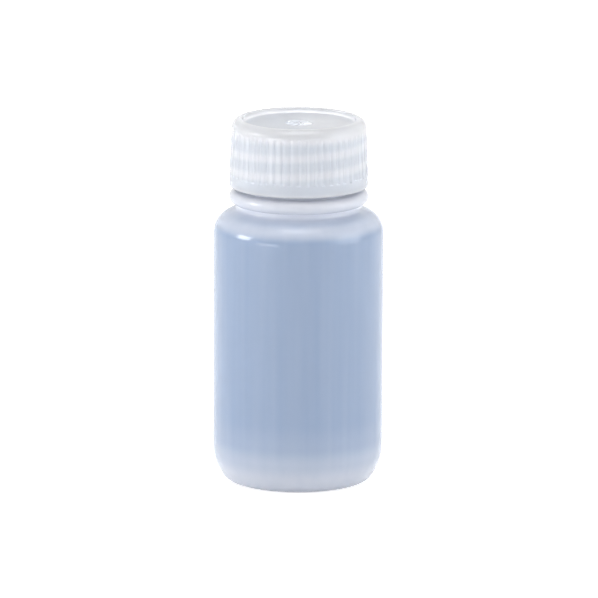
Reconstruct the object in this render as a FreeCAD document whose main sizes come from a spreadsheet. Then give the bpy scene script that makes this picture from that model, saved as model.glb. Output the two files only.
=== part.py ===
import FreeCAD, Part

import math
import os
import re

import Sketcher
from FreeCAD import Placement, Rotation, Vector

# Wide-mouth reagent bottle, 60 mL, with its ribbed screw cap. Millimetres and degrees.
# The bottle stands on z = 0 with its axis on +Z, and the cap is screwed home on the lip.

SIZES = {
    # Blow-moulded body
    "body_height": 58.2,
    "wall": 1.1,
    # Foot: a flat ring to stand on, a small heel arc, and a large arc that blends it into the wall
    "heel_width": 5.0,
    "heel_radius": 3.4,
    "heel_blend": 12.6,
    "foot_ring_width": 1.7,
    "base_thickness": 1.2,
    "push_up_rise": 0.9,
    # Shoulder: an arc, then a cone up to the neck
    "shoulder_width": 5.3,
    "shoulder_radius": 5.0,
    "shoulder_slope": 22.0,
    # Plain neck, and the bead round it
    "neck_step": 1.6,
    "neck_wall": 1.4,
    "neck_length": 2.25,
    "neck_fillet": 0.8,
    "neck_flare_height": 4.2,
    "bead_width": 1.8,
    "bead_round": 1.5,
    # Finish: the threaded part of the neck, above the bead
    "finish_height": 14.27,
    "mouth_radius": 10.5,
    "finish_wall": 2.1,
    "lip_round": 0.4,
    # Right-hand thread, six turns to the inch
    "thread_height": 1.2,
    "thread_pitch": 4.233,
    "thread_turns": 2.0,
    "thread_crest_width": 1.0,
    "thread_root_width": 2.4,
    "lip_to_thread": 2.0,
    "thread_end_step": 0.15,
    # Cap: a plain band at the foot of the skirt, a drafted wall above it and a recessed top panel
    "skirt_wall": 1.95,
    "skirt_gap": 1.0,
    "cap_draft": 2.7,
    "cap_corner": 2.1,
    "cap_edge_round": 0.4,
    "band_height": 2.8,
    "top_thickness": 1.3,
    "rim_width": 0.1,
    "rim_round": 0.3,
    "panel_depth": 1.1,
    "panel_fillet": 0.5,
    # Inside of the cap: a bore that clears the thread, and a ring that plugs the mouth
    "thread_clearance": 0.25,
    "skirt_lead_in": 0.8,
    "skirt_fillet": 0.6,
    "seal_clearance": 0.2,
    "seal_depth": 3.0,
    "seal_thickness": 1.0,
    "seal_lead_in": 0.5,
    # Ribs round the cap, left standing between narrow grooves
    "rib_count": 52,
    "rim_to_ribs": 2.2,
    "groove_depth": 0.35,
    "groove_width": 0.95,
    "groove_floor": 0.25,
    # Gate mark in the panel: a shallow well with short ribs round a nub
    "gate_well_radius": 3.2,
    "gate_well_depth": 0.3,
    "gate_nub_radius": 0.7,
    "gate_rib_count": 8,
    "gate_rib_length": 1.5,
    "gate_rib_width": 0.4,
}

# Sizes that follow, each the sum of the ones named: radii built out from the mouth, and cap heights
SUMS = {
    "finish_radius": ("mouth_radius", "finish_wall"),
    "thread_radius": ("finish_radius", "thread_height"),
    "neck_radius": ("finish_radius", "neck_step"),
    "bead_radius": ("neck_radius", "bead_width"),
    "body_radius": ("neck_radius", "shoulder_width"),
    "bore_radius": ("thread_radius", "thread_clearance"),
    "cap_radius": ("bore_radius", "skirt_wall"),
    "top_height": ("top_thickness", "panel_depth"),
    "skirt_depth": ("finish_height", "-skirt_gap"),
    "rib_length": ("top_height", "skirt_depth", "-band_height", "-rim_to_ribs"),
}

# A cut runs this far past the face that it opens, so that it leaves no skin
OVERCUT = 0.5
# A joined shape reaches this far into the one that carries it
BITE = 0.4

FIRST, LAST, CENTRE = range(1, 4)
LEVEL_AXIS, UPRIGHT_AXIS = range(-1, -3, -1)
ORIGIN = (LEVEL_AXIS, FIRST)
UP, BACK = Vector(0, 0, 1), Vector(0, 1, 0)


def make_sheet(document):
    """The driving dimensions, one cell each, with the name beside the number."""
    sheet = document.addObject("Spreadsheet::Sheet", "sizes")
    for row, (name, value) in enumerate(SIZES.items(), start=1):
        sheet.set(f"A{row}", name)
        sheet.set(f"B{row}", str(value))
        sheet.setAlias(f"B{row}", name)
    document.recompute()
    return sheet


class Sizes:
    """Reads sizes by name, from the sheet's cells."""

    def __init__(self, sheet):
        self.sheet = sheet

    def __getattr__(self, name):
        return self.of(name)

    def of(self, name):
        """A size by its name, or nothing where there is no name."""
        if not name:
            return 0.0
        if name.startswith("-"):
            return -self.of(name[1:])
        if name in SUMS:
            return sum(self.of(part) for part in SUMS[name])
        return float(self.sheet.get(name))


def cell(word):
    """How an expression reads a size: from its cell, or as the sum of other sizes."""
    name = word[0]
    if name in SUMS:
        return f"({formula(' + '.join(SUMS[name]))})"
    return f"sizes.{name}" if name in SIZES else name


def formula(text):
    """Points each size that a formula names at its cell."""
    return re.sub("[a-z_]+", cell, text)


def less(text, name):
    """The formula with a size taken off it, or as it is where there is no name."""
    return f"{text} - {name}" if name else text


def polar(centre, radius, degrees):
    """The point of a circle at an angle from +X."""
    turn = math.radians(degrees)
    return (centre[0] + radius * math.cos(turn), centre[1] + radius * math.sin(turn))


def origin_feature(body, role):
    return next(feature for feature in body.Origin.OriginFeatures if feature.Role == role)


def lay_on(item, body, plane):
    """Attaches a sketch or a block to one of its body's own planes."""
    item.AttachmentSupport = (origin_feature(body, plane), [""])
    item.MapMode = "FlatFace"


def turned_about(axis):
    """A turn about an axis whose angle is bound afterwards: a turn of nought would forget its axis."""
    return Placement(Vector(0, 0, 0), Rotation(axis, 1))


class Outline:
    """A closed outline in a sketch: segments drawn in turn, then sized from the sheet."""

    def __init__(self, body, name, plane, start):
        self.sketch = body.newObject("Sketcher::SketchObject", name)
        lay_on(self.sketch, body, plane)
        self.start = start
        self.pen = start
        self.segments = {}
        self.first = None
        self.latest = None

    def constrain(self, kind, *where):
        return self.sketch.addConstraint(Sketcher.Constraint(kind, *where))

    def join(self, name, index, head, tail, end, smooth):
        if self.latest:
            self.constrain("Tangent" if smooth else "Coincident", *self.latest, index, head)
        else:
            self.first = (index, head)
        self.segments[name] = (index, head, tail)
        self.latest = (index, tail)
        self.pen = end

    def line(self, name, end, smooth=False):
        index = self.sketch.addGeometry(Part.LineSegment(Vector(*self.pen), Vector(*end)), False)
        self.join(name, index, FIRST, LAST, end, smooth)

    def arc(self, name, centre, end, clockwise=False, smooth=True):
        first, last = (end, self.pen) if clockwise else (self.pen, end)
        start_turn = math.atan2(first[1] - centre[1], first[0] - centre[0])
        end_turn = math.atan2(last[1] - centre[1], last[0] - centre[0])
        if end_turn < start_turn:
            end_turn += math.tau
        circle = Part.Circle(Vector(*centre), Vector(0, 0, 1), math.dist(self.pen, centre))
        index = self.sketch.addGeometry(Part.ArcOfCircle(circle, start_turn, end_turn), False)
        head, tail = (LAST, FIRST) if clockwise else (FIRST, LAST)
        self.join(name, index, head, tail, end, smooth)

    def close(self, name):
        """The last segment: a line back to the start."""
        self.line(name, self.start)
        self.constrain("Coincident", *self.latest, *self.first)

    def begin(self, name):
        index, head, _ = self.segments[name]
        return (index, head)

    def end(self, name):
        index, _, tail = self.segments[name]
        return (index, tail)

    def middle(self, name):
        return (self.segments[name][0], CENTRE)

    def level(self, *names):
        for name in names:
            self.constrain("Horizontal", self.segments[name][0])

    def upright(self, *names):
        for name in names:
            self.constrain("Vertical", self.segments[name][0])

    def equal(self, one, other):
        self.constrain("Equal", self.segments[one][0], self.segments[other][0])

    def on_axis(self, *points):
        for point in points:
            self.constrain("PointOnObject", *point, UPRIGHT_AXIS)

    def on_ground(self, *points):
        for point in points:
            self.constrain("PointOnObject", *point, LEVEL_AXIS)

    def symmetric(self, one, other):
        """Sets two points as mirror images across the sketch's X axis."""
        self.constrain("Symmetric", *one, *other, LEVEL_AXIS)

    def bind(self, label, index, text):
        self.sketch.renameConstraint(index, label)
        self.sketch.setExpression(f"Constraints.{label}", formula(text))

    def radius(self, name, text):
        index = self.segments[name][0]
        size = self.sketch.Geometry[index].Radius
        self.bind(f"{name}_size", self.constrain("Radius", index, size), text)

    def slope(self, name, text):
        """The angle of a line from +X."""
        index = self.segments[name][0]
        line = self.sketch.Geometry[index]
        run = line.EndPoint - line.StartPoint
        self.bind(f"{name}_slope", self.constrain("Angle", index, math.atan2(run.y, run.x)), text)

    def run(self, origin, point):
        return self.sketch.getPoint(*point) - self.sketch.getPoint(*origin)

    def across(self, label, point, text, origin=ORIGIN):
        """A distance along the sketch's X, to a point that lies further out than its origin."""
        size = self.run(origin, point).x
        self.bind(label, self.constrain("DistanceX", *origin, *point, size), text)

    def up(self, label, point, text, origin=ORIGIN):
        """A distance along the sketch's Y, to a point that lies higher than its origin."""
        size = self.run(origin, point).y
        self.bind(label, self.constrain("DistanceY", *origin, *point, size), text)

    def report_height(self, label, point):
        """A height that follows from the rest, for other shapes to read."""
        index = self.constrain("DistanceY", *ORIGIN, *point, self.run(ORIGIN, point).y)
        self.sketch.renameConstraint(index, label)
        self.sketch.setDriving(index, False)

    def height(self, label):
        return float(self.sketch.getDatum(label).Value)

    def turned(self, body, kind, name):
        """Turns the outline about the upright axis, as a solid or as a cut."""
        feature = body.newObject(kind, name)
        feature.Profile = self.sketch
        feature.ReferenceAxis = (self.sketch, ["V_Axis"])
        feature.Angle = 360.0
        body.Document.recompute()
        return feature

    def pressed(self, body, kind, name, length, upward):
        """Pads or pockets the outline along its normal."""
        feature = body.newObject(kind, name)
        feature.Profile = self.sketch
        feature.setExpression("Length", formula(length))
        feature.Reversed = upward == (kind == "PartDesign::Pocket")
        body.Document.recompute()
        return feature


def repeat_round(body, feature, name, count):
    """Repeats a feature evenly round the body's axis."""
    pattern = body.newObject("PartDesign::PolarPattern", name)
    pattern.Originals = [feature]
    pattern.Axis = (origin_feature(body, "Z_Axis"), [""])
    pattern.Angle = 360.0
    pattern.setExpression("Occurrences", formula(count))
    body.Tip = pattern
    body.Document.recompute()
    return pattern


# Bottle

def draw_shell(outline, size, wall=None, floor=None, neck_wall=None):
    """Draws base, side, shoulder and cone, for the outside or, one wall further in, for the hollow."""
    foot = size.body_radius - size.heel_width
    ring = foot - size.foot_ring_width
    ground = size.of(floor)
    dome_top = ground + size.push_up_rise
    dome_radius = (ring**2 + size.push_up_rise**2) / (2 * size.push_up_rise)
    heel_radius = size.heel_radius - size.of(wall)
    heel_centre = (foot, ground + heel_radius)
    blend_run = size.heel_blend - size.heel_width
    blend_rise = math.sqrt((size.heel_blend - size.heel_radius) ** 2 - blend_run**2)
    blend_centre = (size.body_radius - size.heel_blend, heel_centre[1] + blend_rise)
    heel_turn = -math.degrees(math.atan2(blend_rise, blend_run))
    side = size.body_radius - size.of(wall)
    shoulder_centre = (size.body_radius - size.shoulder_radius, size.body_height)
    shoulder_radius = size.shoulder_radius - size.of(wall)
    cone_foot = polar(shoulder_centre, shoulder_radius, 90 - size.shoulder_slope)
    neck = size.neck_radius - size.of(neck_wall)
    cone_rise = (cone_foot[0] - neck) * math.tan(math.radians(size.shoulder_slope))
    cone_top = (neck, cone_foot[1] + cone_rise)

    outline.arc("dome", (0, dome_top - dome_radius), (ring, ground), clockwise=True)
    outline.line("foot_ring", (foot, ground))
    outline.arc("heel", heel_centre, polar(heel_centre, heel_radius, heel_turn))
    outline.arc("blend", blend_centre, (side, blend_centre[1]))
    outline.line("side", (side, size.body_height), smooth=True)
    outline.arc("shoulder", shoulder_centre, cone_foot)
    outline.line("cone", cone_top, smooth=True)

    outline.level("foot_ring")
    outline.upright("side")
    outline.on_axis(outline.begin("dome"), outline.middle("dome"))
    outline.across("foot_edge", outline.end("foot_ring"), "body_radius - heel_width")
    outline.across("ring_width", outline.end("foot_ring"), "foot_ring_width", outline.begin("foot_ring"))
    outline.up("push_up", outline.begin("dome"), "push_up_rise", outline.begin("foot_ring"))
    outline.radius("heel", less("heel_radius", wall))
    outline.radius("blend", less("heel_blend", wall))
    outline.across("side_edge", outline.begin("side"), less("body_radius", wall))
    outline.up("side_top", outline.end("side"), "body_height")
    outline.radius("shoulder", less("shoulder_radius", wall))
    outline.slope("cone", "180 - shoulder_slope")


def draw_outside(body, size):
    """Half-section of the bottle's outside, from the push-up under the base to the lip."""
    outline = Outline(body, "bottle_outline", "XZ_Plane", (0, size.push_up_rise))
    draw_shell(outline, size)
    neck_foot = outline.pen[1] + size.neck_fillet
    bead_height = neck_foot + size.neck_length
    bead_axis = size.bead_radius - size.bead_round
    bead_top = bead_height + size.bead_round
    lip = bead_top + size.finish_height
    lip_edge = (size.finish_radius - size.lip_round, lip - size.lip_round)

    outline.arc("neck_fillet", (size.neck_radius + size.neck_fillet, neck_foot),
                (size.neck_radius, neck_foot), clockwise=True)
    outline.line("neck", (size.neck_radius, bead_height - size.bead_round), smooth=True)
    outline.arc("bead", (bead_axis, bead_height), (bead_axis, bead_top), smooth=False)
    outline.line("bead_top", (size.finish_radius, bead_top), smooth=True)
    outline.line("finish", (size.finish_radius, lip_edge[1]))
    outline.arc("lip_edge", lip_edge, (lip_edge[0], lip))
    outline.line("lip", (0, lip), smooth=True)
    outline.close("axis")

    outline.on_ground(outline.begin("foot_ring"))
    outline.level("bead_top", "lip")
    outline.upright("neck", "finish")
    outline.on_axis(outline.end("lip"))
    outline.radius("neck_fillet", "neck_fillet")
    outline.across("neck_edge", outline.begin("neck"), "neck_radius")
    outline.radius("bead", "bead_round")
    outline.across("bead_axis", outline.middle("bead"), "bead_radius - bead_round")
    outline.up("neck_run", outline.middle("bead"), "neck_length", outline.begin("neck"))
    outline.across("finish_edge", outline.begin("finish"), "finish_radius")
    outline.radius("lip_edge", "lip_round")
    outline.up("finish_run", outline.begin("lip"), "finish_height", outline.begin("finish"))
    outline.report_height("bead_height", outline.middle("bead"))
    outline.report_height("lip_height", outline.begin("lip"))
    return outline


def draw_hollow(body, size, bead_height, lip):
    """Half-section of the hollow, from the floor out through the mouth."""
    neck = size.neck_radius - size.neck_wall
    flare_run = neck - size.mouth_radius
    flare_turn = 2 * math.degrees(math.atan2(flare_run, size.neck_flare_height))
    flare_radius = flare_run / 2 / (1 - math.cos(math.radians(flare_turn)))
    flare_foot = (neck - flare_radius, bead_height - size.neck_flare_height / 2)
    flare_top = (size.mouth_radius + flare_radius, bead_height + size.neck_flare_height / 2)
    mouth_edge = (size.mouth_radius + size.lip_round, lip - size.lip_round)

    floor = size.base_thickness + size.push_up_rise
    outline = Outline(body, "hollow_outline", "XZ_Plane", (0, floor))
    draw_shell(outline, size, "wall", "base_thickness", "neck_wall")
    outline.line("neck", (neck, flare_foot[1]))
    outline.arc("flare_foot", flare_foot, polar(flare_foot, flare_radius, flare_turn))
    outline.arc("flare_top", flare_top, (size.mouth_radius, flare_top[1]), clockwise=True)
    outline.line("mouth", (size.mouth_radius, mouth_edge[1]), smooth=True)
    outline.arc("mouth_edge", mouth_edge, (mouth_edge[0], lip), clockwise=True)
    outline.line("way_out", (mouth_edge[0], lip + OVERCUT))
    outline.line("top", (0, lip + OVERCUT))
    outline.close("axis")

    outline.level("top")
    outline.upright("neck", "mouth", "way_out")
    outline.on_axis(outline.end("top"))
    outline.up("floor_height", outline.begin("foot_ring"), "base_thickness")
    outline.across("neck_edge", outline.begin("neck"), "neck_radius - neck_wall")
    outline.equal("flare_foot", "flare_top")
    outline.up("flare_run", outline.end("flare_top"), "neck_flare_height", outline.begin("flare_foot"))
    outline.up("flare_height", outline.begin("flare_top"), "bottle_outline.Constraints.bead_height")
    outline.across("mouth_side", outline.begin("mouth"), "mouth_radius")
    outline.radius("mouth_edge", "lip_round")
    outline.constrain("Vertical", *outline.begin("way_out"), *outline.middle("mouth_edge"))
    outline.up("lip_height", outline.begin("way_out"), "bottle_outline.Constraints.lip_height")
    outline.up("overcut", outline.end("way_out"), f"{OVERCUT}", outline.begin("way_out"))
    return outline


def draw_thread(body, size, lip):
    """Section of the thread's ridge where it starts, low at the back of the neck."""
    root = size.finish_radius - BITE
    middle = lip - size.lip_to_thread - size.thread_turns * size.thread_pitch
    outline = Outline(body, "thread_outline", "YZ_Plane", (root, middle - size.thread_root_width / 2))
    outline.line("low_flank", (size.thread_radius, middle - size.thread_crest_width / 2))
    outline.line("crest", (size.thread_radius, middle + size.thread_crest_width / 2))
    outline.line("high_flank", (root, middle + size.thread_root_width / 2))
    outline.close("root")

    outline.upright("crest", "root")
    outline.equal("low_flank", "high_flank")
    outline.across("root_edge", outline.end("high_flank"), f"finish_radius - {BITE}")
    outline.across("crest_edge", outline.begin("crest"), "thread_radius")
    outline.up("root_run", outline.end("high_flank"), "thread_root_width", outline.begin("low_flank"))
    outline.up("crest_run", outline.end("crest"), "thread_crest_width", outline.begin("crest"))
    drop = "lip_to_thread + thread_turns * thread_pitch - thread_root_width / 2"
    level = f"bottle_outline.Constraints.lip_height - ({drop}) * 1 mm"
    outline.up("root_top", outline.end("high_flank"), level)
    return outline


def wind_thread(body, outline):
    helix = body.newObject("PartDesign::AdditiveHelix", "thread")
    helix.Profile = outline.sketch
    helix.ReferenceAxis = (outline.sketch, ["V_Axis"])
    helix.Mode = "pitch-turns-angle"
    helix.setExpression("Pitch", formula("thread_pitch"))
    helix.setExpression("Turns", formula("thread_turns"))
    body.Document.recompute()


def run_out_thread(body, name, turns, side):
    """Cuts an end of the thread along a flat that meets the neck, so that the ridge fades out.
    The flat stands at the back, turned on by the thread's turns, and side is the end's side of it."""
    block = body.newObject("PartDesign::SubtractiveBox", name)
    lay_on(block, body, "XY_Plane")
    block.AttachmentOffset = turned_about(UP)
    flat = "(finish_radius + thread_end_step)"
    turn = f"({turns} * 360)"
    reach = f"({side} * thread_radius)"
    across = f"-{flat} * sin({turn}) + {reach} * cos({turn})"
    back = f"{flat} * cos({turn}) + {reach} * sin({turn})"
    drop = f"lip_to_thread + (thread_turns - {turns} + 0.5) * thread_pitch"
    block.setExpression("AttachmentOffset.Base.x", formula(across))
    block.setExpression("AttachmentOffset.Base.y", formula(back))
    block.setExpression("AttachmentOffset.Base.z",
                        formula(f"bottle_outline.Constraints.lip_height - ({drop}) * 1 mm"))
    block.setExpression("AttachmentOffset.Rotation.Angle", formula(turn))
    block.setExpression("Length", formula("thread_radius"))
    block.setExpression("Width", formula("thread_radius - finish_radius"))
    block.setExpression("Height", formula("thread_pitch"))
    body.Document.recompute()


def build_bottle(document, size):
    """The bottle: blown in one piece, with a moulded neck."""
    body = document.addObject("PartDesign::Body", "bottle")
    outside = draw_outside(body, size)
    outside.turned(body, "PartDesign::Revolution", "bottle_blank")
    lip = outside.height("lip_height")
    wind_thread(body, draw_thread(body, size, lip))
    run_out_thread(body, "thread_start", "0", "-1")
    run_out_thread(body, "thread_end", "thread_turns", "0")
    hollow = draw_hollow(body, size, outside.height("bead_height"), lip)
    hollow.turned(body, "PartDesign::Groove", "hollow")
    return body


# Cap, drawn with the face that seats on the lip at z = 0

def draw_cap(body, size):
    """Half-section of the cap, round its outside from the panel and back along its inside."""
    rim = size.top_height
    foot = -size.skirt_depth
    band_top = foot + size.band_height
    draft = math.radians(size.cap_draft)
    corner_axis = (
        size.cap_radius
        - (rim - size.cap_corner - band_top) * math.tan(draft)
        - size.cap_corner / math.cos(draft)
    )
    corner = (corner_axis, rim - size.cap_corner)
    edge = (size.cap_radius - size.cap_edge_round, foot + size.cap_edge_round)
    rim_edge = (corner_axis - size.rim_width, rim - size.rim_round)
    panel_side = rim_edge[0] - size.rim_round
    panel_fillet = (panel_side - size.panel_fillet, size.top_thickness + size.panel_fillet)
    bore = size.bore_radius
    bore_fillet = (bore - size.skirt_fillet, -size.skirt_fillet)
    seal = size.mouth_radius - size.seal_clearance

    outline = Outline(body, "cap_outline", "XZ_Plane", (0, size.top_thickness))
    outline.line("panel", (panel_fillet[0], size.top_thickness))
    outline.arc("panel_fillet", panel_fillet, (panel_side, panel_fillet[1]))
    outline.line("panel_side", (panel_side, rim_edge[1]), smooth=True)
    outline.arc("rim_edge", rim_edge, (rim_edge[0], rim), clockwise=True)
    outline.line("rim", (corner_axis, rim), smooth=True)
    outline.arc("corner", corner, polar(corner, size.cap_corner, size.cap_draft), clockwise=True)
    outline.line("side", (size.cap_radius, band_top), smooth=True)
    outline.line("band", (size.cap_radius, edge[1]))
    outline.arc("edge", edge, (edge[0], foot), clockwise=True)
    outline.line("foot", (bore + size.skirt_lead_in, foot), smooth=True)
    outline.line("lead_in", (bore, foot + size.skirt_lead_in))
    outline.line("bore", (bore, bore_fillet[1]))
    outline.arc("bore_fillet", bore_fillet, (bore_fillet[0], 0))
    outline.line("seat", (seal, 0), smooth=True)
    outline.line("seal_side", (seal, size.seal_lead_in - size.seal_depth))
    outline.line("seal_lead_in", (seal - size.seal_lead_in, -size.seal_depth))
    outline.line("seal_foot", (seal - size.seal_thickness, -size.seal_depth))
    outline.line("seal_back", (seal - size.seal_thickness, 0))
    outline.line("ceiling", (0, 0))
    outline.close("axis")

    outline.level("panel", "rim", "foot", "seal_foot")
    outline.upright("panel_side", "band", "bore", "seal_side", "seal_back", "axis")
    outline.on_ground(outline.begin("seat"), outline.end("seat"), outline.begin("ceiling"))
    outline.constrain("Coincident", *outline.begin("axis"), *ORIGIN)
    outline.up("top_thickness", outline.begin("panel"), "top_thickness")
    outline.across("rim_width", outline.end("rim"), "rim_width", outline.begin("rim"))
    outline.radius("panel_fillet", "panel_fillet")
    outline.up("panel_depth", outline.begin("rim"), "panel_depth", outline.end("panel"))
    outline.radius("rim_edge", "rim_round")
    outline.radius("corner", "cap_corner")
    outline.slope("side", "cap_draft - 90")
    outline.across("band_edge", outline.begin("band"), "cap_radius")
    outline.up("band_height", outline.begin("band"), "band_height", outline.end("edge"))
    outline.radius("edge", "cap_edge_round")
    outline.up("skirt_depth", ORIGIN, "skirt_depth", outline.end("foot"))
    outline.across("bore_edge", outline.begin("bore"), "bore_radius")
    outline.across("lead_in_run", outline.end("foot"), "skirt_lead_in", outline.begin("bore"))
    outline.up("lead_in_rise", outline.begin("bore"), "skirt_lead_in", outline.end("foot"))
    outline.radius("bore_fillet", "skirt_fillet")
    outline.across("seal_edge", outline.begin("seal_side"), "mouth_radius - seal_clearance")
    outline.up("seal_depth", outline.begin("seal_side"), "seal_depth", outline.begin("seal_foot"))
    outline.across("seal_lead_run", outline.end("seal_side"), "seal_lead_in", outline.end("seal_lead_in"))
    outline.up("seal_lead_rise", outline.end("seal_side"), "seal_lead_in", outline.end("seal_lead_in"))
    outline.across("seal_width", outline.begin("seal_side"), "seal_thickness", outline.begin("seal_back"))
    return outline


def cut_ribs(body, size):
    """Cuts the grooves that part the ribs, square to the drafted wall and just above the band."""
    half_floor = size.groove_floor / 2
    half_width = size.groove_width / 2
    outline = Outline(body, "groove_outline", "XY_Plane", (-size.groove_depth, -half_floor))
    outline.line("low_flank", (0, -half_width))
    outline.line("low_side", (OVERCUT, -half_width))
    outline.line("front", (OVERCUT, half_width))
    outline.line("high_side", (0, half_width))
    outline.line("high_flank", (-size.groove_depth, half_floor))
    outline.close("floor")

    outline.level("low_side", "high_side")
    outline.symmetric(outline.begin("low_flank"), outline.end("high_flank"))
    outline.symmetric(outline.begin("front"), outline.end("front"))
    outline.on_axis(outline.end("low_flank"), outline.end("high_side"))
    outline.up("floor_width", outline.begin("floor"), "groove_floor", outline.end("floor"))
    outline.up("width", outline.end("front"), "groove_width", outline.begin("front"))
    outline.across("depth", ORIGIN, "groove_depth", outline.begin("floor"))
    outline.across("overcut", outline.end("low_side"), f"{OVERCUT}")

    outline.sketch.AttachmentOffset = turned_about(BACK)
    outline.sketch.setExpression("AttachmentOffset.Rotation.Angle", formula("-cap_draft"))
    outline.sketch.setExpression("AttachmentOffset.Base.x", formula("cap_radius"))
    outline.sketch.setExpression("AttachmentOffset.Base.z", formula("band_height - skirt_depth"))
    groove = outline.pressed(body, "PartDesign::Pocket", "groove", "rib_length", upward=True)
    repeat_round(body, groove, "grooves", "rib_count")


def draw_disc(body, name, radius, level):
    """A circle on the axis, at a level of the cap."""
    sketch = body.newObject("Sketcher::SketchObject", name)
    lay_on(sketch, body, "XY_Plane")
    sketch.addGeometry(Part.Circle(Vector(0, 0, 0), Vector(0, 0, 1), 1), False)
    sketch.addConstraint(Sketcher.Constraint("Coincident", 0, CENTRE, *ORIGIN))
    sketch.addConstraint(Sketcher.Constraint("Radius", 0, 1))
    sketch.renameConstraint(1, "disc_size")
    sketch.setExpression("Constraints.disc_size", formula(radius))
    sketch.setExpression("AttachmentOffset.Base.z", formula(level))
    return sketch


def mould_gate_mark(body, size):
    """The mark that the mould's gate leaves in the middle of the panel."""
    well_floor = "top_thickness - gate_well_depth"
    well = body.newObject("PartDesign::Pocket", "gate_well")
    well.Profile = draw_disc(body, "gate_well_outline", "gate_well_radius", "top_thickness")
    well.setExpression("Length", formula("gate_well_depth"))
    nub = body.newObject("PartDesign::Pad", "gate_nub")
    nub.Profile = draw_disc(body, "gate_nub_outline", "gate_nub_radius", well_floor)
    nub.setExpression("Length", formula("gate_well_depth"))

    half_width = size.gate_rib_width / 2
    start = (size.gate_well_radius + size.gate_nub_radius - size.gate_rib_length) / 2
    outline = Outline(body, "gate_rib_outline", "XY_Plane", (start, -half_width))
    outline.line("low_side", (start + size.gate_rib_length, -half_width))
    outline.line("outer_end", (start + size.gate_rib_length, half_width))
    outline.line("high_side", (start, half_width))
    outline.close("inner_end")
    outline.level("low_side", "high_side")
    outline.upright("outer_end")
    outline.symmetric(outline.begin("low_side"), outline.end("high_side"))
    outline.up("width", outline.end("outer_end"), "gate_rib_width", outline.begin("outer_end"))
    outline.across("length", outline.end("low_side"), "gate_rib_length", outline.begin("low_side"))
    start_formula = "(gate_well_radius + gate_nub_radius - gate_rib_length) / 2"
    outline.across("start", outline.begin("low_side"), start_formula)
    outline.sketch.setExpression("AttachmentOffset.Base.z", formula(well_floor))
    rib = outline.pressed(body, "PartDesign::Pad", "gate_rib", "gate_well_depth", upward=True)
    repeat_round(body, rib, "gate_ribs", "gate_rib_count")


def build_cap(document, size):
    """The screw cap: moulded in one piece, plain in the bore where its thread would be."""
    body = document.addObject("PartDesign::Body", "screw_cap")
    outline = draw_cap(body, size)
    outline.turned(body, "PartDesign::Revolution", "cap_blank")
    cut_ribs(body, size)
    mould_gate_mark(body, size)
    body.setExpression("Placement.Base.z", "bottle_outline.Constraints.lip_height")
    document.recompute()
    return body


def check(document, bodies):
    """Stops before anything is written if a step failed or a piece isn't one sound solid."""
    for item in document.Objects:
        if "Invalid" in item.State or "Error" in item.State:
            raise RuntimeError(f"{item.Name} failed: {item.State}")
        if item.isDerivedFrom("Sketcher::SketchObject") and not item.FullyConstrained:
            raise RuntimeError(f"{item.Name} isn't fully constrained")
    for body in bodies:
        shape = body.Shape
        if shape.isNull() or not shape.isValid() or len(shape.Solids) != 1:
            raise RuntimeError(f"{body.Label} isn't one valid solid")


def main():
    document = FreeCAD.newDocument("reagent_bottle")
    size = Sizes(make_sheet(document))
    bodies = [build_bottle(document, size), build_cap(document, size)]
    check(document, bodies)
    os.makedirs("parts", exist_ok=True)
    for body in bodies:
        body.Shape.exportStep(f"parts/{body.Label}.step")
        print(f"{body.Label}: {body.Shape.Volume:.0f} cubic mm, top at {body.Shape.BoundBox.ZMax:.2f}")


main()
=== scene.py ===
import math

import bmesh
import bpy
from mathutils import Matrix, Vector


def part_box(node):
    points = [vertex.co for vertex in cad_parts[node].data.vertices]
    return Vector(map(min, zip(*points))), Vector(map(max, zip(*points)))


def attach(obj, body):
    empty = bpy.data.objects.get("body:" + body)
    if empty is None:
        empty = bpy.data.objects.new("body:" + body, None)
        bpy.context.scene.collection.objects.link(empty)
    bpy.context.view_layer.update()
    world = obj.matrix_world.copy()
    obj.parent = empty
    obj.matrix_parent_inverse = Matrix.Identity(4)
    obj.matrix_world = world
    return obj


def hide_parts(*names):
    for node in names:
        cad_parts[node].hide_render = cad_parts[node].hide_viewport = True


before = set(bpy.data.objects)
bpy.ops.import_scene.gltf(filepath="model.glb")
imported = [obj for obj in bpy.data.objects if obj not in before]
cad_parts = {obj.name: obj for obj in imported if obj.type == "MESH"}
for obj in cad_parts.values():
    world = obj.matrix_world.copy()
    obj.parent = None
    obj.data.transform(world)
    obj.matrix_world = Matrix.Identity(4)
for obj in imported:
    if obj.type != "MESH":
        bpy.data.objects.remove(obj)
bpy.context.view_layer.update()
MM = 0.001

# Bottle shell
# One piece of natural low-density polyethylene, blown in a mould of two halves. The wall is about a
# millimetre thick and milky, so the far side shows through it only as soft tones.

WALL = 1.1
BODY_RADIUS = 19.5
BODY_HEIGHT = 58.2
FOOT_RADIUS = 14.5
FOOT_RING_WIDTH = 1.7
PUSH_UP_RISE = 0.9
BASE_THICKNESS = 1.2
HEEL_RADIUS = 3.4
HEEL_BLEND = 12.6
SHOULDER_RADIUS = 5.0
SHOULDER_SLOPE = 22.0
NECK_RADIUS = 14.2
NECK_WALL = 1.4
NECK_FILLET = 0.8
NECK_LENGTH = 2.25
NECK_FLARE_HEIGHT = 4.2
BEAD_RADIUS = 16.0
BEAD_ROUND = 1.5
FINISH_RADIUS = 12.6
MOUTH_RADIUS = 10.5
LIP_ROUND = 0.4
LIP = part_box("bottle")[1].z / MM
BOTTLE_COLUMNS = 192
THREAD_ROW = 0.15
# A point this near to a surface lies on it
TOUCH = 0.01
SHARP_EDGE = math.radians(35)


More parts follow.
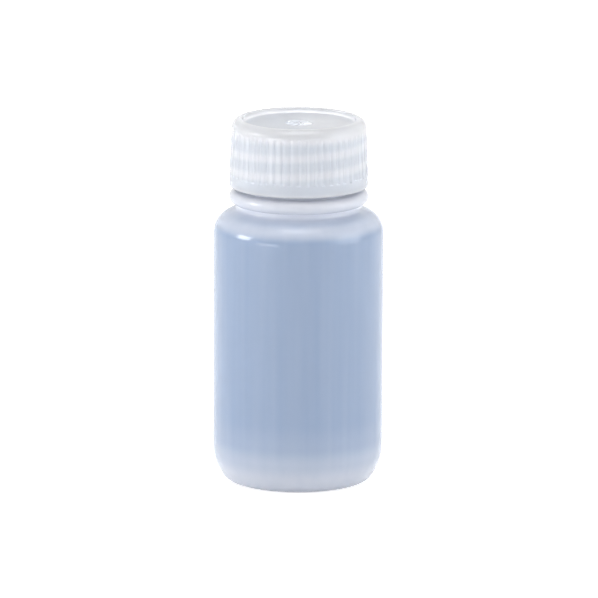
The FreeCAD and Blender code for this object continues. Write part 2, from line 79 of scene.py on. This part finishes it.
class HalfSection:
    """The half-section of a turned form: a line of edges drawn in the XZ plane, in millimetres."""

    # A row this close to each end of a straight run keeps the shading of the run flat
    GUARD = 0.3

    def __init__(self, radius, height):
        self.mesh = bmesh.new()
        self.tip = self.mesh.verts.new((radius, 0, height))

    def go_to(self, place):
        self.tip = bmesh.ops.extrude_vert_indiv(self.mesh, verts=[self.tip])["verts"][0]
        self.tip.co = place

    def line(self, radius, height, row=None):
        """A straight run, cut into rows of about that height where it is to be shaped afterwards."""
        start, end = self.tip.co.copy(), Vector((radius, 0, height))
        length = (end - start).length
        if row:
            count = math.ceil(length / row)
            stops = [step / count for step in range(1, count)]
        elif length > 3 * self.GUARD:
            stops = [self.GUARD / length, 1 - self.GUARD / length]
        else:
            stops = []
        for stop in stops + [1]:
            self.go_to(start.lerp(end, stop))

    def arc(self, radius, height, degrees, steps):
        """An arc about a centre, anticlockwise with the axis on the left."""
        spun = bmesh.ops.spin(self.mesh, geom=[self.tip], cent=(radius, 0, height), axis=(0, -1, 0),
                              angle=math.radians(degrees), steps=steps)
        self.tip = next(item for item in spun["geom_last"] if isinstance(item, bmesh.types.BMVert))

    def turned(self, columns):
        """Turns the section round the axis into a closed shell, with its true corners marked sharp."""
        mesh = self.mesh
        bmesh.ops.spin(mesh, geom=mesh.verts[:] + mesh.edges[:], axis=(0, 0, 1), angle=math.tau,
                       steps=columns, use_merge=True)
        bmesh.ops.remove_doubles(mesh, verts=mesh.verts[:], dist=1e-4)
        bmesh.ops.recalc_face_normals(mesh, faces=mesh.faces[:])
        for face in mesh.faces:
            face.smooth = True
        for edge in mesh.edges:
            edge.smooth = edge.calc_face_angle(0) < SHARP_EDGE
        return mesh


def finish_piece(name, mesh, body, slot, *nodes):
    """Makes an object of a mesh in millimetres, on its body, in place of its CAD nodes."""
    bmesh.ops.scale(mesh, verts=mesh.verts[:], vec=(MM, MM, MM))
    data = bpy.data.meshes.new(name)
    mesh.to_mesh(data)
    mesh.free()
    piece = bpy.data.objects.new(name, data)
    bpy.context.scene.collection.objects.link(piece)
    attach(piece, body)
    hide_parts(*nodes)
    return piece


def draw_bottle_wall(section, wall, floor):
    """Draws base, heel, side and shoulder, on the outside or one wall further in."""
    ring = FOOT_RADIUS - FOOT_RING_WIDTH
    dome = (ring**2 + PUSH_UP_RISE**2) / (2 * PUSH_UP_RISE)
    dome_degrees = math.degrees(math.asin(ring / dome))
    blend_run = HEEL_BLEND - (BODY_RADIUS - FOOT_RADIUS)
    blend_rise = math.sqrt((HEEL_BLEND - HEEL_RADIUS) ** 2 - blend_run**2)
    blend_degrees = math.degrees(math.atan2(blend_rise, blend_run))
    heel_height = floor + HEEL_RADIUS - wall
    section.arc(0, floor + PUSH_UP_RISE - dome, -dome_degrees, steps=8)
    section.line(FOOT_RADIUS, floor)
    section.arc(FOOT_RADIUS, heel_height, 90 - blend_degrees, steps=10)
    section.arc(BODY_RADIUS - HEEL_BLEND, heel_height + blend_rise, blend_degrees, steps=10)
    section.line(BODY_RADIUS - wall, BODY_HEIGHT)
    section.arc(BODY_RADIUS - SHOULDER_RADIUS, BODY_HEIGHT, 90 - SHOULDER_SLOPE, steps=14)


slope = math.radians(SHOULDER_SLOPE)
shoulder_axis = BODY_RADIUS - SHOULDER_RADIUS
fillet_axis = NECK_RADIUS + NECK_FILLET
neck_foot = (BODY_HEIGHT + (SHOULDER_RADIUS + NECK_FILLET) / math.cos(slope)
             - (fillet_axis - shoulder_axis) * math.tan(slope))
bead_height = neck_foot + NECK_LENGTH
bead_axis = BEAD_RADIUS - BEAD_ROUND
bead_start = math.degrees(math.acos((NECK_RADIUS - bead_axis) / BEAD_ROUND))

outside = HalfSection(0, PUSH_UP_RISE)
draw_bottle_wall(outside, 0, 0)
outside.line(fillet_axis - NECK_FILLET * math.sin(slope), neck_foot - NECK_FILLET * math.cos(slope))
outside.arc(fillet_axis, neck_foot, SHOULDER_SLOPE - 90, steps=6)
outside.line(NECK_RADIUS, bead_height - BEAD_ROUND * math.sin(math.radians(bead_start)))
outside.arc(bead_axis, bead_height, 90 + bead_start, steps=18)
outside.line(FINISH_RADIUS, bead_height + BEAD_ROUND)
outside.line(FINISH_RADIUS, LIP - LIP_ROUND, row=THREAD_ROW)
outside.arc(FINISH_RADIUS - LIP_ROUND, LIP - LIP_ROUND, 90, steps=6)
outside.line(MOUTH_RADIUS + LIP_ROUND, LIP)
outside.arc(MOUTH_RADIUS + LIP_ROUND, LIP - LIP_ROUND, 90, steps=6)
# The neck's inside flares from the mouth down to the wider neck
neck_inside = NECK_RADIUS - NECK_WALL
flare_run = neck_inside - MOUTH_RADIUS
flare = 2 * math.atan2(flare_run, NECK_FLARE_HEIGHT)
flare_radius = flare_run / 2 / (1 - math.cos(flare))
flare_top = bead_height + NECK_FLARE_HEIGHT / 2
flare_foot = bead_height - NECK_FLARE_HEIGHT / 2
cone_inside = shoulder_axis + (SHOULDER_RADIUS - WALL) * math.sin(slope)
cone_inside_height = BODY_HEIGHT + (SHOULDER_RADIUS - WALL) * math.cos(slope)
outside.line(MOUTH_RADIUS, flare_top)
outside.arc(MOUTH_RADIUS + flare_radius, flare_top, math.degrees(flare), steps=8)
outside.arc(neck_inside - flare_radius, flare_foot, -math.degrees(flare), steps=8)
outside.line(neck_inside, cone_inside_height + (cone_inside - neck_inside) * math.tan(slope))
outside.line(cone_inside, cone_inside_height)
# The inside's lower part is drawn from the floor up, and its end meets the cone
inside = HalfSection(0, BASE_THICKNESS + PUSH_UP_RISE)
draw_bottle_wall(inside, WALL, BASE_THICKNESS)
meeting = bpy.data.meshes.new("bottle_inside")
inside.mesh.to_mesh(meeting)
inside.mesh.free()
outside.mesh.from_mesh(meeting)
bpy.data.meshes.remove(meeting)
bottle_mesh = outside.turned(BOTTLE_COLUMNS)

# The thread: a ridge with two right-hand turns, six to the inch, that runs out at the back of the neck

THREAD_PITCH = 4.233
THREAD_TURNS = 2.0
THREAD_HEIGHT = 1.2
THREAD_CREST_WIDTH = 1.0
THREAD_ROOT_WIDTH = 2.4
LIP_TO_THREAD = 2.0
THREAD_END_STEP = 0.15
# The ends run out along a straight line, which leaves the round wall over this angle in radians
RUN_OUT_ANGLE = 1.0
# The back of the neck, as a share of the turn from the right-hand side
BACK = 0.25


def ridge_height(place, first, turns, root, crest, height, end_radius):
    """How far a thread's ridge stands out at a place. It starts at the height first, at the back."""
    round_share = (math.atan2(place.y, place.x) / math.tau - BACK) % 1
    best = 0.0
    for turn in (round_share, round_share + 1):
        off = abs(place.z - first - turn * THREAD_PITCH)
        share = min(1, max(0, (root / 2 - off) / (root / 2 - crest / 2)))
        to_end = min(turn, turns - turn)
        if share and to_end >= 0:
            angle = min(to_end * math.tau, RUN_OUT_ANGLE)
            run_out = (end_radius + THREAD_END_STEP) / math.cos(angle) - end_radius
            smooth_share = share * share * (3 - 2 * share)
            best = max(best, smooth_share * min(height, run_out))
    return best


thread_first = LIP - LIP_TO_THREAD - THREAD_TURNS * THREAD_PITCH
finish_foot = bead_height + BEAD_ROUND
for vert in bottle_mesh.verts:
    radius = vert.co.xy.length
    if abs(radius - FINISH_RADIUS) < TOUCH and finish_foot < vert.co.z < LIP - LIP_ROUND:
        ridge = ridge_height(vert.co, thread_first, THREAD_TURNS, THREAD_ROOT_WIDTH, THREAD_CREST_WIDTH,
                             THREAD_HEIGHT, FINISH_RADIUS)
        vert.co.xy *= (radius + ridge) / radius

# The mould's two halves leave a soft line up each side, and the tube's pinched end a scar under the
# base, level along its middle and falling off at its ends by a power. The shell's one point on the
# axis isn't lowered, so the scar has a small dip there.

PARTING_HEIGHT = 0.05
SCAR_HEIGHT = 0.3
SCAR_REACH = 9.0
SCAR_END_POWER = 4
for vert in bottle_mesh.verts:
    radius = vert.co.xy.length
    if abs(vert.co.y) > TOUCH or radius < TOUCH:
        continue
    if vert.co.z < BASE_THICKNESS and radius < SCAR_REACH:
        vert.co.z -= SCAR_HEIGHT * (1 - (radius / SCAR_REACH) ** SCAR_END_POWER)
    elif radius > BODY_RADIUS - TOUCH:
        vert.co.x *= (radius + PARTING_HEIGHT) / radius

bottle = finish_piece("bottle_shell", bottle_mesh, "container", "blown_polyethylene", "bottle")


def colour(text):
    """An sRGB hex colour as the linear one that a shader takes."""
    parts = [int(text[place:place + 2], 16) / 255 for place in (1, 3, 5)]
    linear = [part / 12.92 if part <= 0.04045 else ((part + 0.055) / 1.055) ** 2.4 for part in parts]
    return (*linear, 1)


def new_material(name):
    material = bpy.data.materials.new(name)
    material.use_nodes = True
    material.node_tree.nodes.clear()
    return material


def add_node(tree, kind, inputs=None, **settings):
    """Adds a node with its settings. An input is a value, or another node's output to link."""
    node = tree.nodes.new(kind)
    for name, value in settings.items():
        setattr(node, name, value)
    for name, value in (inputs or {}).items():
        if isinstance(value, bpy.types.NodeSocket):
            tree.links.new(value, node.inputs[name])
        else:
            node.inputs[name].default_value = value
    return node


# Natural low-density polyethylene, blow-moulded. It scatters blue light most, so the thin wall looks a
# cool blue, and the thick neck and bead a milky white. Light is also painted into the colour: whiter
# toward the base for the floor's light through it, a painted highlight band on the shoulder with
# painted shade on the cone above it, and more over the bead. The mould gives it a satin face, slightly
# uneven, with faint streaks up it from the drawn tube.
THIN_TINT = "#8BA0BF"
MILKY_AND_LIT_TINT = "#E4E5EB"
# Heights in millimetres, each with how milky the wall is drawn there, painted light included: most of
# all at the thick bead
# Painted light: whiter toward the base, for the white floor's light coming up through it
HEEL_PAINTED_LIGHT = ((3.0, 0.63), (7.0, 0.38), (11.0, 0.16), (17.0, 0.075))
# Painted highlight band on the shoulder, with painted shade on the cone above it, rising to the neck's
# milk at its foot
SHOULDER_PAINTED_LIGHT = ((59.0, 0.075), (61.2, 0.46), (61.9, 0.46), (62.8, 0.37), (64.3, 0.7))
# The thick neck and bead are milky, and painted lighter again for the light that comes through the bead
NECK_MILK_AND_LIGHT = ((66.0, 0.74), (68.0, 0.84), (70.0, 0.84), (72.5, 0.7))
STREAK_WIDTH = 3.0
STREAK_STRETCH = 30.0
STREAK_SHARE = 0.075
# The satin face's soft unevenness, in millimetres
PEEL_SIZE = 1.6
PEEL_DEPTH = 0.003
polyethylene = new_material("natural_blown_polyethylene")
tree = polyethylene.node_tree
place = add_node(tree, "ShaderNodeTexCoord").outputs["Object"]
height = add_node(tree, "ShaderNodeSeparateXYZ", {"Vector": place}).outputs["Z"]
share = add_node(tree, "ShaderNodeMapRange", {"Value": height, "From Max": LIP * MM})
thickness_and_light = add_node(tree, "ShaderNodeValToRGB", {"Fac": share.outputs[0]})
thickness_and_light.color_ramp.interpolation = "EASE"
for level, milk_and_light in HEEL_PAINTED_LIGHT + SHOULDER_PAINTED_LIGHT + NECK_MILK_AND_LIGHT:
    thickness_and_light.color_ramp.elements.new(level / LIP).color = (milk_and_light, milk_and_light, milk_and_light, 1)
thickness_and_light.color_ramp.elements[0].color = thickness_and_light.color_ramp.elements[1].color
thickness_and_light.color_ramp.elements[-1].color = thickness_and_light.color_ramp.elements[-2].color
tall = add_node(tree, "ShaderNodeMapping", {"Vector": place, "Scale": (1, 1, 1 / STREAK_STRETCH)})
streaks = add_node(tree, "ShaderNodeTexNoise", {
    "Vector": tall.outputs[0], "Scale": 1 / (STREAK_WIDTH * MM), "Detail": 2.0})
uneven = add_node(tree, "ShaderNodeMapRange", {
    "Value": streaks.outputs["Fac"], "To Min": -STREAK_SHARE, "To Max": STREAK_SHARE})
milk_and_light = add_node(tree, "ShaderNodeMath", {0: thickness_and_light.outputs[0], 1: uneven.outputs[0]},
                operation="ADD", use_clamp=True)
# The wall's blue is mixed toward milky white by thickness and by painted light
tint = add_node(tree, "ShaderNodeMix", {
    "Factor": milk_and_light.outputs[0], "A": colour(THIN_TINT), "B": colour(MILKY_AND_LIT_TINT)}, data_type="RGBA")
peel = add_node(tree, "ShaderNodeTexNoise", {
    "Vector": place, "Scale": 1 / (PEEL_SIZE * MM), "Detail": 1.0})
rough = add_node(tree, "ShaderNodeMapRange", {
    "Value": peel.outputs["Fac"], "To Min": 0.17, "To Max": 0.22})
bump = add_node(tree, "ShaderNodeBump", {
    "Height": peel.outputs["Fac"], "Distance": PEEL_DEPTH * MM, "Strength": 1.0})
surface = add_node(tree, "ShaderNodeBsdfPrincipled", {
    "Base Color": tint.outputs["Result"],
    "Roughness": rough.outputs["Result"],
    "Normal": bump.outputs["Normal"],
    "IOR": 1.51,
    "Specular IOR Level": 0.5,
    "Transmission Weight": 0.12,
    "Subsurface Weight": 1.0,
    "Subsurface Radius": (1.0, 1.0, 1.0),
    "Subsurface Scale": 3.0 * MM,
}, subsurface_method="BURLEY")
add_node(tree, "ShaderNodeOutputMaterial", {"Surface": surface.outputs["BSDF"]})
bottle.data.materials.append(polyethylene)

# Screw cap
# One injection moulding in natural polypropylene, clearer than the bottle: a ribbed skirt with a plain
# band at its foot, a top with a recessed panel, an inner thread and a ring that plugs the mouth.

CAP_RADIUS = 16.0
CAP_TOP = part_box("screw_cap")[1].z / MM
CAP_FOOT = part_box("screw_cap")[0].z / MM
TOP_THICKNESS = 1.3
CAP_DRAFT = 2.7
CAP_CORNER = 2.1
CAP_EDGE_ROUND = 0.4
BAND_HEIGHT = 2.8
RIM_WIDTH = 0.1
RIM_ROUND = 0.3
PANEL_FILLET = 0.5
BORE_RADIUS = 14.05
SKIRT_LEAD_IN = 0.8
SKIRT_FILLET = 0.6
SEAL_CLEARANCE = 0.2
SEAL_DEPTH = 3.0
SEAL_THICKNESS = 1.0
SEAL_LEAD_IN = 0.5
RIB_COUNT = 52
COLUMNS_PER_RIB = 8
RIM_TO_RIBS = 2.2
GROOVE_DEPTH = 0.35
GROOVE_WIDTH = 0.95
GROOVE_FLOOR = 0.25
GROOVE_FADE = 1.2
GROOVE_FOOT = 0.04
GATE_TAPER = 0.1
GATE_WELL_RADIUS = 3.2
GATE_WELL_DEPTH = 0.3
GATE_NUB_RADIUS = 0.7
GATE_RIB_COUNT = 8
GATE_RIB_LENGTH = 1.5
GATE_RIB_WIDTH = 0.4

draft = math.radians(CAP_DRAFT)
panel = LIP + TOP_THICKNESS
band_top = CAP_FOOT + BAND_HEIGHT
corner_height = CAP_TOP - CAP_CORNER
corner_axis = CAP_RADIUS - (corner_height - band_top) * math.tan(draft) - CAP_CORNER / math.cos(draft)
rim_axis = corner_axis - RIM_WIDTH
panel_side = rim_axis - RIM_ROUND
seal = MOUTH_RADIUS - SEAL_CLEARANCE
gate_rib_start = (GATE_WELL_RADIUS + GATE_NUB_RADIUS - GATE_RIB_LENGTH) / 2
gate_rib_end = gate_rib_start + GATE_RIB_LENGTH
side_top = corner_height + CAP_CORNER * math.sin(draft)
side_top_radius = corner_axis + CAP_CORNER * math.cos(draft)

section = HalfSection(0, panel)
section.line(GATE_NUB_RADIUS - GATE_TAPER, panel)
section.line(GATE_NUB_RADIUS, panel - GATE_WELL_DEPTH)
section.line(gate_rib_start, panel - GATE_WELL_DEPTH)
section.line(gate_rib_end, panel - GATE_WELL_DEPTH, row=GATE_TAPER)
section.line(GATE_WELL_RADIUS - GATE_TAPER, panel - GATE_WELL_DEPTH)
section.line(GATE_WELL_RADIUS, panel)
section.line(panel_side - PANEL_FILLET, panel)
section.arc(panel_side - PANEL_FILLET, panel + PANEL_FILLET, 90, steps=6)
section.line(panel_side, CAP_TOP - RIM_ROUND)
section.arc(rim_axis, CAP_TOP - RIM_ROUND, -90, steps=6)
section.line(corner_axis, CAP_TOP)
section.arc(corner_axis, corner_height, CAP_DRAFT - 90, steps=14)
section.line(side_top_radius, side_top)
rib_top = CAP_TOP - RIM_TO_RIBS
fade_foot = rib_top - GROOVE_FADE
share = (side_top - fade_foot) / (side_top - band_top)
section.line(side_top_radius + (CAP_RADIUS - side_top_radius) * share, fade_foot, row=THREAD_ROW)
section.line(CAP_RADIUS - GROOVE_FOOT * math.tan(draft), band_top + GROOVE_FOOT)
section.line(CAP_RADIUS, band_top)
section.line(CAP_RADIUS, CAP_FOOT + CAP_EDGE_ROUND)
section.arc(CAP_RADIUS - CAP_EDGE_ROUND, CAP_FOOT + CAP_EDGE_ROUND, -90, steps=5)
section.line(BORE_RADIUS + SKIRT_LEAD_IN, CAP_FOOT)
section.line(BORE_RADIUS, CAP_FOOT + SKIRT_LEAD_IN)
section.line(BORE_RADIUS, LIP - SKIRT_FILLET, row=THREAD_ROW)
section.arc(BORE_RADIUS - SKIRT_FILLET, LIP - SKIRT_FILLET, 90, steps=5)
section.line(seal, LIP)
section.line(seal, LIP - SEAL_DEPTH + SEAL_LEAD_IN)
section.line(seal - SEAL_LEAD_IN, LIP - SEAL_DEPTH)
section.line(seal - SEAL_THICKNESS, LIP - SEAL_DEPTH)
section.line(seal - SEAL_THICKNESS, LIP)
section.line(0, LIP)
cap_mesh = section.turned(RIB_COUNT * COLUMNS_PER_RIB)

# Ribs are left standing between the grooves, the gate's mark fills its well, and the cap's own thread
# stands half a pitch from the neck's

CAP_THREAD_TURNS = 1.5
CAP_THREAD_HEIGHT = 1.1
CAP_THREAD_CREST = 1.0
CAP_THREAD_ROOT = 2.2
cap_thread_first = thread_first + THREAD_PITCH / 2


def off_spoke(angle, count, radius):
    """How far round a place lies from the nearest of so many even spokes."""
    pitch = math.tau / count
    return abs((angle / pitch + 0.5) % 1 - 0.5) * pitch * radius


for vert in cap_mesh.verts:
    radius, height = vert.co.xy.length, vert.co.z
    angle = math.atan2(vert.co.y, vert.co.x)
    on_side = radius > side_top_radius - TOUCH and band_top + TOUCH < height <= rib_top
    on_bore = (abs(radius - BORE_RADIUS) < TOUCH
               and CAP_FOOT + SKIRT_LEAD_IN < height < LIP - SKIRT_FILLET)
    in_well = (gate_rib_start - TOUCH < radius < gate_rib_end + TOUCH
               and abs(height - panel + GATE_WELL_DEPTH) < TOUCH)
    if on_side:
        off = off_spoke(angle, RIB_COUNT, CAP_RADIUS)
        groove = min(1, max(0, (GROOVE_WIDTH / 2 - off) / (GROOVE_WIDTH - GROOVE_FLOOR) * 2))
        fade = min(1, (rib_top - height) / GROOVE_FADE)
        vert.co.xy *= 1 - GROOVE_DEPTH * groove * fade / radius
    elif on_bore:
        ridge = ridge_height(vert.co, cap_thread_first, CAP_THREAD_TURNS, CAP_THREAD_ROOT,
                             CAP_THREAD_CREST, CAP_THREAD_HEIGHT, FINISH_RADIUS)
        vert.co.xy *= (radius - ridge) / radius
    elif in_well and off_spoke(angle, GATE_RIB_COUNT, radius) < GATE_RIB_WIDTH / 2:
        vert.co.z += GATE_WELL_DEPTH

cap = finish_piece("ribbed_cap", cap_mesh, "closure", "moulded_polypropylene", "screw_cap")

# Natural polypropylene, injection-moulded in a polished mould: whiter and clearer than the bottle, with
# a soft gloss. Light is painted into its colour: lighter bands where the neck's thread shows through,
# the thick corner whitened further for the light from above, and a painted glow at the foot's edge.
WALL_TINT = "#DEE3EB"
# The milky white, for the thick corner and for the painted light
CORNER_AND_LIT_TINT = "#F6F7FA"
# Painted light along the neck's thread, seen through the cap: the bands and their soft edges, as shares
# of its pitch, and the height where they start
BAND_SHARE = 0.42
BAND_EDGE = 0.3
BAND_LIGHT = 0.7
BAND_FOOT = 71.5
BAND_FADE = 1.0
CORNER_START = 80.4
CORNER_FULL = 82.2
PANEL_EDGE = 11.5
FOOT_GLOW = 0.9
FOOT_FADE = 1.1
FLOW_SIZE = 4.0
FLOW_SHARE = 0.1
polypropylene = new_material("natural_moulded_polypropylene")
tree = polypropylene.node_tree
place = add_node(tree, "ShaderNodeTexCoord").outputs["Object"]
axes = add_node(tree, "ShaderNodeSeparateXYZ", {"Vector": place})
# The helix: a height, in turns of the thread, less the turn round the axis, folded on to half a turn
turn = add_node(tree, "ShaderNodeMath", {0: axes.outputs["Y"], 1: axes.outputs["X"]},
                operation="ARCTAN2")
climb = add_node(tree, "ShaderNodeMath", {
    0: turn.outputs[0], 1: -1 / math.tau, 2: BACK - thread_first / THREAD_PITCH},
    operation="MULTIPLY_ADD")
rise = add_node(tree, "ShaderNodeMath", {
    0: axes.outputs["Z"], 1: 1 / (THREAD_PITCH * MM), 2: climb.outputs[0]},
    operation="MULTIPLY_ADD")
wave = add_node(tree, "ShaderNodeMath", {0: rise.outputs[0], 1: 0.5}, operation="PINGPONG")
# Painted light: lighter bands along the neck's thread, which shows through the cap
band = add_node(tree, "ShaderNodeMapRange", {
    "Value": wave.outputs[0], "From Min": (BAND_SHARE + BAND_EDGE) / 2,
    "From Max": (BAND_SHARE - BAND_EDGE) / 2, "To Max": BAND_LIGHT}, interpolation_type="SMOOTHSTEP")
above = add_node(tree, "ShaderNodeMapRange", {
    "Value": axes.outputs["Z"], "From Min": BAND_FOOT * MM, "From Max": (BAND_FOOT + BAND_FADE) * MM},
    interpolation_type="SMOOTHSTEP")
band = add_node(tree, "ShaderNodeMath", {0: band.outputs[0], 1: above.outputs[0]}, operation="MULTIPLY")
# The corner is thick, and the panel inside it thin. The corner is also painted lighter, for the light
# that falls on it from above
level = add_node(tree, "ShaderNodeMapping", {"Vector": place, "Scale": (1, 1, 0)})
from_axis = add_node(tree, "ShaderNodeVectorMath", {0: level.outputs[0]}, operation="LENGTH")
outer = add_node(tree, "ShaderNodeMapRange", {
    "Value": from_axis.outputs["Value"], "From Min": PANEL_EDGE * MM, "From Max": panel_side * MM},
    interpolation_type="SMOOTHSTEP")
high = add_node(tree, "ShaderNodeMapRange", {
    "Value": axes.outputs["Z"], "From Min": CORNER_START * MM, "From Max": CORNER_FULL * MM},
    interpolation_type="SMOOTHSTEP")
corner = add_node(tree, "ShaderNodeMath", {0: outer.outputs[0], 1: high.outputs[0]},
                  operation="MULTIPLY")
thickness_and_light = add_node(tree, "ShaderNodeMath", {0: band.outputs[0], 1: corner.outputs[0]},
                 operation="MAXIMUM")
# Painted glow: the foot's edge is lightened, for the light it gathers from the skirt above it
foot_glow = add_node(tree, "ShaderNodeMapRange", {
    "Value": axes.outputs["Z"], "From Min": (CAP_FOOT + FOOT_FADE) * MM, "From Max": CAP_FOOT * MM,
    "To Max": FOOT_GLOW}, interpolation_type="SMOOTHSTEP")
thickness_and_light = add_node(tree, "ShaderNodeMath", {0: thickness_and_light.outputs[0], 1: foot_glow.outputs[0]},
                 operation="MAXIMUM")
flow = add_node(tree, "ShaderNodeTexNoise", {
    "Vector": place, "Scale": 1 / (FLOW_SIZE * MM), "Detail": 2.0})
uneven = add_node(tree, "ShaderNodeMapRange", {
    "Value": flow.outputs["Fac"], "To Min": -FLOW_SHARE, "To Max": FLOW_SHARE})
milk_and_light = add_node(tree, "ShaderNodeMath", {0: thickness_and_light.outputs[0], 1: uneven.outputs[0]},
                operation="ADD", use_clamp=True)
tint = add_node(tree, "ShaderNodeMix", {
    "Factor": milk_and_light.outputs[0], "A": colour(WALL_TINT), "B": colour(CORNER_AND_LIT_TINT)}, data_type="RGBA")
rough = add_node(tree, "ShaderNodeMapRange", {
    "Value": flow.outputs["Fac"], "To Min": 0.16, "To Max": 0.22})
surface = add_node(tree, "ShaderNodeBsdfPrincipled", {
    "Base Color": tint.outputs["Result"],
    "Roughness": rough.outputs["Result"],
    "IOR": 1.49,
    "Transmission Weight": 0.48,
    "Subsurface Weight": 1.0,
    "Subsurface Radius": (1.0, 1.0, 1.0),
    "Subsurface Scale": 2.5 * MM,
}, subsurface_method="BURLEY")
add_node(tree, "ShaderNodeOutputMaterial", {"Surface": surface.outputs["BSDF"]})
cap.data.materials.append(polypropylene)

# Floor and surroundings
# A plain white ground without an edge. The camera, the gloss and the clear plastic see it as white, and
# the object is lit by a dimmer room and four soft lamps.

FLOOR_SIZE = 6.0
FLOOR_SHADE = 0.8
FLOOR_GLOW = 0.62
ROOM_LIGHT = 0.7
floor_mesh = bmesh.new()
bmesh.ops.create_grid(floor_mesh, x_segments=1, y_segments=1, size=FLOOR_SIZE / 2)
floor_data = bpy.data.meshes.new("floor")
floor_mesh.to_mesh(floor_data)
floor_mesh.free()
floor = bpy.data.objects.new("floor", floor_data)
bpy.context.scene.collection.objects.link(floor)


def seen_directly(tree):
    """One for a ray from the camera, off a gloss or through clear plastic, and nought for others."""
    path = add_node(tree, "ShaderNodeLightPath")
    seen = path.outputs["Is Camera Ray"]
    for kind in ("Is Glossy Ray", "Is Transmission Ray"):
        either = add_node(tree, "ShaderNodeMath", {0: seen, 1: path.outputs[kind]}, operation="MAXIMUM")
        seen = either.outputs[0]
    return seen


# Matt white card, which keeps the object's shadow and glows a little so that its edge is lost
ground = new_material("white_ground")
tree = ground.node_tree
seen = seen_directly(tree)
own_light = add_node(tree, "ShaderNodeEmission", {"Color": (1, 1, 1, 1), "Strength": FLOOR_GLOW})
matt = add_node(tree, "ShaderNodeBsdfDiffuse", {"Color": (FLOOR_SHADE, FLOOR_SHADE, FLOOR_SHADE, 1)})
both = add_node(tree, "ShaderNodeAddShader", {0: own_light.outputs[0], 1: matt.outputs[0]})
mixed = add_node(tree, "ShaderNodeMixShader", {0: seen, 1: matt.outputs[0], 2: both.outputs[0]})
add_node(tree, "ShaderNodeOutputMaterial", {"Surface": mixed.outputs[0]})
floor_data.materials.append(ground)

world = bpy.data.worlds.new("white_room")
world.use_nodes = True
world.node_tree.nodes.clear()
bpy.context.scene.world = world
tree = world.node_tree
seen = seen_directly(tree)
white = add_node(tree, "ShaderNodeBackground", {"Color": (1, 1, 1, 1), "Strength": 1.0})
dim = add_node(tree, "ShaderNodeBackground", {"Color": (1, 1, 1, 1), "Strength": ROOM_LIGHT})
mixed = add_node(tree, "ShaderNodeMixShader", {0: seen, 1: dim.outputs[0], 2: white.outputs[0]})
add_node(tree, "ShaderNodeOutputWorld", {"Surface": mixed.outputs[0]})

# How high above the floor the lamps face, in metres
LAMP_AIM = 0.045


def add_softbox(name, azimuth, elevation, distance, width, height, power):
    """A soft lamp that faces the middle of the bottle. Azimuth is to the right from the camera."""
    lamp = bpy.data.lights.new(name, "AREA")
    lamp.shape = "RECTANGLE"
    lamp.size, lamp.size_y = width, height
    lamp.energy = power
    holder = bpy.data.objects.new(name, lamp)
    bpy.context.scene.collection.objects.link(holder)
    turn, rise = math.radians(azimuth), math.radians(elevation)
    level = math.cos(rise)
    towards = Vector((math.sin(turn) * level, -math.cos(turn) * level, math.sin(rise)))
    holder.location = Vector((0, 0, LAMP_AIM)) + towards * distance
    holder.rotation_euler = towards.to_track_quat("Z", "Y").to_euler()


add_softbox("left_softbox", azimuth=-81, elevation=15, distance=0.7, width=0.26, height=0.18, power=1.9)
add_softbox("low_softbox", azimuth=-42, elevation=-1, distance=0.55, width=0.3, height=0.06, power=0.36)
add_softbox("right_softbox", azimuth=72, elevation=15, distance=0.7, width=0.5, height=0.5, power=2.2)
add_softbox("top_softbox", azimuth=0, elevation=82, distance=0.6, width=0.35, height=0.35, power=1.1)

# Camera
# A long lens, level with the bottle's middle and looking down on it at a slight angle.

PHOTO_SIZE = 598
PIXELS_PER_MM = 4.341
CAMERA_ELEVATION = 12.0
CAMERA_DISTANCE = 2.5
CAMERA_ROLL = 0.27
AXIS_PIXEL_X = 298.3
BASE_PIXEL_Y = 478.4
SENSOR = 36.0
elevation = math.radians(CAMERA_ELEVATION)
middle = PHOTO_SIZE / 2
pixel = MM / PIXELS_PER_MM
across, up = middle - AXIS_PIXEL_X, (BASE_PIXEL_Y - middle) / math.cos(elevation)
target = Vector((across, 0, up)) * pixel
towards = Vector((0, -math.cos(elevation), math.sin(elevation)))
camera_data = bpy.data.cameras.new("camera")
camera_data.sensor_width = SENSOR
camera_data.lens = SENSOR * CAMERA_DISTANCE / (PHOTO_SIZE * pixel)
camera_data.clip_end = 100
camera = bpy.data.objects.new("camera", camera_data)
bpy.context.scene.collection.objects.link(camera)
facing = towards.to_track_quat("Z", "Y").to_matrix().to_4x4()
camera.matrix_world = (Matrix.Translation(target + towards * CAMERA_DISTANCE) @ facing
                       @ Matrix.Rotation(math.radians(CAMERA_ROLL), 4, "Z"))
bpy.context.scene.camera = camera
bpy.context.scene.view_settings.view_transform = "Standard"
# Light goes round many times in the white gap under the cap
bpy.context.scene.cycles.max_bounces = 24
bpy.context.scene.cycles.diffuse_bounces = 16
